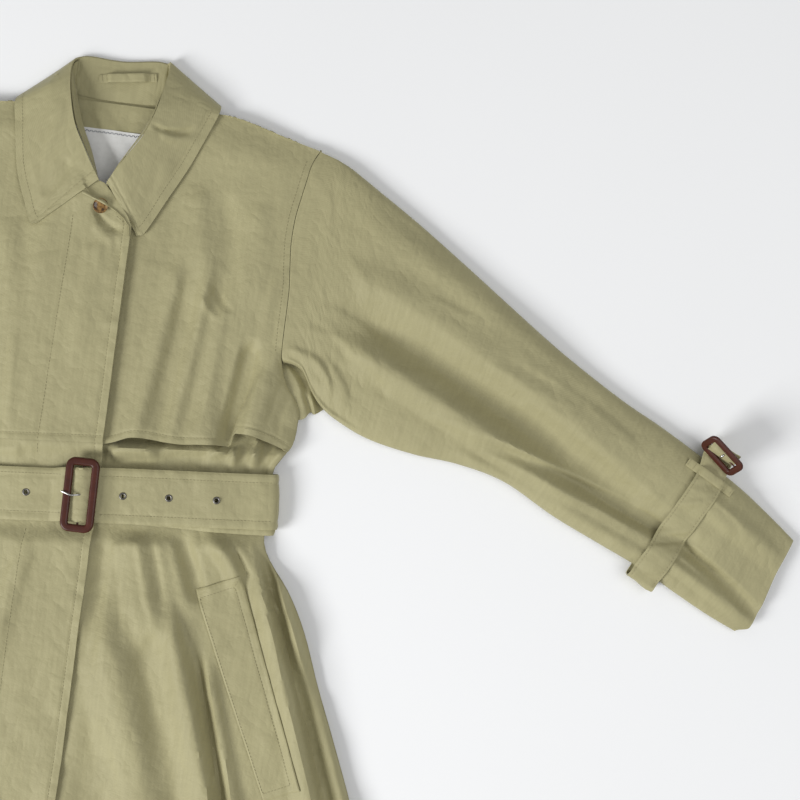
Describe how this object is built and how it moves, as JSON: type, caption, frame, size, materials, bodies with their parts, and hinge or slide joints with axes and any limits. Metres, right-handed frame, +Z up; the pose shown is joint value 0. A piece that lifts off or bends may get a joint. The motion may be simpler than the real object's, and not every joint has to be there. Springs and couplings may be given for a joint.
{
  "type": "trench coat",
  "caption": "Belted fly-front trench coat in plain gabardine, laid flat and face up, with turn-down collar, storm flaps, welt pockets and buckled cuff straps.",
  "frame": {"origin": "on the surface that the coat lies on, under the coat's centre line at the waist, on the underside of the belt's back pass", "axes": "+X to the wearer's left side, along the sleeve span; +Y from the hem to the neck; +Z up from the surface through the coat's front"},
  "size_m": [1.392, 1.0534, 0.0421],
  "materials": {
    "gabardine": "khaki cotton gabardine, close diagonal twill with a faint sheen",
    "buckle_leather": "dark red-brown leather, polished, with a stitched edge",
    "silver_metal": "nickel-plated steel",
    "label_cloth": "white woven label, bare",
    "tortoise_button": "polished amber and brown tortoise resin"
  },
  "bodies": {
    "root": {"back_panel": "gabardine", "front_left_panel": "gabardine", "front_right_panel": "gabardine", "storm_flap_left": "gabardine", "storm_flap_right": "gabardine", "fly_facing": "gabardine", "back_neck_facing": "gabardine", "collar_fall": "gabardine", "collar_stand": "gabardine", "hanger_loop": "gabardine", "neck_label": "label_cloth", "neck_button": "tortoise_button", "sleeve_left": "gabardine", "sleeve_right": "gabardine", "pocket_welt_left": "gabardine", "pocket_welt_right": "gabardine", "cuff_strap_left": "gabardine", "cuff_strap_right": "gabardine", "cuff_carrier_left": "gabardine", "cuff_carrier_right": "gabardine", "cuff_buckle_left": "buckle_leather", "cuff_buckle_right": "buckle_leather", "cuff_prong_left": "silver_metal", "cuff_prong_right": "silver_metal", "belt": "gabardine", "belt_buckle": "buckle_leather", "belt_prong": "silver_metal", "belt_eyelet_1": "silver_metal", "belt_eyelet_2": "silver_metal", "belt_eyelet_3": "silver_metal", "belt_eyelet_4": "silver_metal"}
  },
  "joints": []
}
